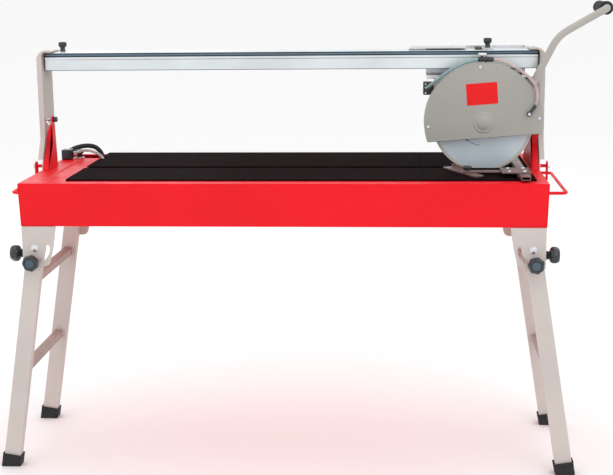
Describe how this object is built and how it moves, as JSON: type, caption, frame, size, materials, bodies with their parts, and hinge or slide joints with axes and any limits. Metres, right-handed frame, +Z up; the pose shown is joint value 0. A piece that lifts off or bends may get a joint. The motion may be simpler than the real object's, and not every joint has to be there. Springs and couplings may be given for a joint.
{
  "type": "wet tile saw",
  "caption": "Wet bridge saw for tiles: a water tray on folding legs with a tilting aluminium rail, a sliding plunging blade head and a bent feed handle.",
  "frame": {"origin": "bottom centre of the whole object's bounding box, on the floor under the middle of the machine", "axes": "+X along the tray towards the saw head and handle, +Y away from the operator, +Z up"},
  "size_m": [1.5076, 0.5562, 1.1255],
  "materials": {
    "red_paint": "gloss powder coat",
    "grey_paint": "satin powder coat, warm light grey",
    "guard_paint": "satin powder coat, mid grey",
    "aluminium": "drawn, with grain along its length",
    "zinc": "zinc plated",
    "steel": "ground",
    "motor_paint": "black satin paint",
    "table_black": "wet gloss black",
    "black_plastic": "moulded, fine grain",
    "black_rubber": "matt",
    "clear_hose": "clear tube with water in it",
    "fence_metal": "dark reddish-grey lacquer"
  },
  "bodies": {
    "base": {"tray": "red_paint", "left_deck": "red_paint", "table_front": "table_black", "table_rear": "table_black", "water_pump": "black_plastic", "hose_block": "black_plastic", "supply_hose": "black_rubber", "drain_hose": "clear_hose", "fence_guide": "fence_metal", "carry_handle_left": "red_paint", "tilt_bracket_left": "red_paint", "leg_bracket_front_left": "grey_paint", "leg_bracket_rear_left": "grey_paint", "carry_handle_right": "red_paint", "tilt_bracket_right": "red_paint", "leg_bracket_front_right": "grey_paint", "leg_bracket_rear_right": "grey_paint"},
    "corner_knob": {"corner_knob": "black_plastic"},
    "side_knob_left": {"side_knob_left": "black_plastic"},
    "tilt_clamp_left": {"tilt_clamp_left": "black_plastic"},
    "legs_left": {"leg_front_left": "grey_paint", "leg_rear_left": "grey_paint", "foot_front_left": "black_rubber", "foot_rear_left": "black_rubber", "cross_bar_upper_left": "grey_paint", "cross_bar_lower_left": "grey_paint"},
    "leg_lock_knob_left": {"leg_lock_knob_left": "black_plastic"},
    "side_knob_right": {"side_knob_right": "black_plastic"},
    "tilt_clamp_right": {"tilt_clamp_right": "black_plastic"},
    "legs_right": {"leg_front_right": "grey_paint", "leg_rear_right": "grey_paint", "foot_front_right": "black_rubber", "foot_rear_right": "black_rubber", "cross_bar_upper_right": "grey_paint", "cross_bar_lower_right": "grey_paint"},
    "leg_lock_knob_right": {"leg_lock_knob_right": "black_plastic"},
    "gantry": {"post_left": "grey_paint", "post_right": "grey_paint", "rail": "aluminium"},
    "rail_stop_knob": {"rail_stop_knob": "black_plastic"},
    "carriage": {"carriage_frame": "zinc"},
    "carriage_lock_knob": {"carriage_lock_knob": "black_plastic"},
    "roller_left": {"roller_left": "black_plastic"},
    "roller_right": {"roller_right": "black_plastic"},
    "head": {"guard_body": "guard_paint", "guard_cover": "guard_paint", "head_arm": "guard_paint", "motor": "motor_paint", "switch_box": "black_plastic", "handle_tube": "guard_paint", "handle_grip": "black_rubber", "feed_hose": "clear_hose", "branch_hose": "clear_hose", "water_nozzle": "black_plastic", "water_valve": "black_plastic"},
    "spindle": {"blade": "steel", "arbor": "steel"},
    "fence_slide": {"fence_slider": "fence_metal"},
    "mitre": {"mitre_arm": "fence_metal"},
    "fence_knob": {"fence_knob": "black_plastic"}
  },
  "joints": [
    {"name": "corner_knob_turn", "type": "hinge", "parent": "base", "child": "corner_knob", "pos_m": [-0.63366, 0.20615, 0.715], "axis": [0, 0, 1], "continuous": true},
    {"name": "side_knob_left_turn", "type": "hinge", "parent": "base", "child": "side_knob_left", "pos_m": [-0.66936, -0.22785, 0.543], "axis": [1, 0, 0], "continuous": true},
    {"name": "tilt_clamp_left_turn", "type": "hinge", "parent": "base", "child": "tilt_clamp_left", "pos_m": [-0.65566, 0.03415, 0.838], "axis": [1, 0, 0], "continuous": true},
    {"name": "legs_left_fold", "type": "hinge", "parent": "base", "child": "legs_left", "pos_m": [-0.63966, -0.22785, 0.558], "axis": [0, -1, 0], "range_deg": [0, 99]},
    {"name": "leg_lock_knob_left_turn", "type": "hinge", "parent": "legs_left", "child": "leg_lock_knob_left", "pos_m": [-0.64486, -0.24365, 0.52592], "axis": [0, 1, 0], "continuous": true},
    {"name": "side_knob_right_turn", "type": "hinge", "parent": "base", "child": "side_knob_right", "pos_m": [0.57804, -0.22785, 0.543], "axis": [1, 0, 0], "continuous": true},
    {"name": "tilt_clamp_right_turn", "type": "hinge", "parent": "base", "child": "tilt_clamp_right", "pos_m": [0.56434, 0.03415, 0.838], "axis": [1, 0, 0], "continuous": true},
    {"name": "legs_right_fold", "type": "hinge", "parent": "base", "child": "legs_right", "pos_m": [0.54834, -0.22785, 0.558], "axis": [0, 1, 0], "range_deg": [0, 99]},
    {"name": "leg_lock_knob_right_turn", "type": "hinge", "parent": "legs_right", "child": "leg_lock_knob_right", "pos_m": [0.55354, -0.24365, 0.52592], "axis": [0, 1, 0], "continuous": true},
    {"name": "gantry_tilt", "type": "hinge", "parent": "base", "child": "gantry", "pos_m": [-0.04566, -0.00185, 0.7225], "axis": [1, 0, 0], "range_deg": [0, 45]},
    {"name": "rail_stop_knob_turn", "type": "hinge", "parent": "gantry", "child": "rail_stop_knob", "pos_m": [-0.63066, 0.07315, 1.0083], "axis": [0, 0, 1], "continuous": true},
    {"name": "carriage_travel", "type": "slide", "parent": "gantry", "child": "carriage", "axis": [1, 0, 0], "range_m": [-0.86, 0]},
    {"name": "carriage_lock_knob_turn", "type": "hinge", "parent": "carriage", "child": "carriage_lock_knob", "pos_m": [0.45434, 0.05215, 1.0118], "axis": [0, 0, 1], "continuous": true},
    {"name": "roller_left_spin", "type": "hinge", "parent": "carriage", "child": "roller_left", "pos_m": [0.37434, 0.08815, 0.9543], "axis": [0, 1, 0], "continuous": true},
    {"name": "roller_right_spin", "type": "hinge", "parent": "carriage", "child": "roller_right", "pos_m": [0.51434, 0.08815, 0.9543], "axis": [0, 1, 0], "continuous": true},
    {"name": "head_plunge", "type": "hinge", "parent": "carriage", "child": "head", "pos_m": [0.34934, 0.05165, 0.925], "axis": [0, 1, 0], "range_deg": [-15, 5]},
    {"name": "blade_spin", "type": "hinge", "parent": "head", "child": "spindle", "pos_m": [0.44184, -0.00185, 0.834], "axis": [0, 1, 0], "continuous": true},
    {"name": "fence_travel", "type": "slide", "parent": "base", "child": "fence_slide", "axis": [0, 1, 0], "range_m": [-0.03, 0.015]},
    {"name": "mitre_turn", "type": "hinge", "parent": "fence_slide", "child": "mitre", "pos_m": [0.39884, -0.11785, 0.7196], "axis": [0, 0, 1], "range_deg": [-20, 25]},
    {"name": "fence_knob_turn", "type": "hinge", "parent": "mitre", "child": "fence_knob", "pos_m": [0.39884, -0.11785, 0.7276], "axis": [0, 0, 1], "continuous": true}
  ]
}
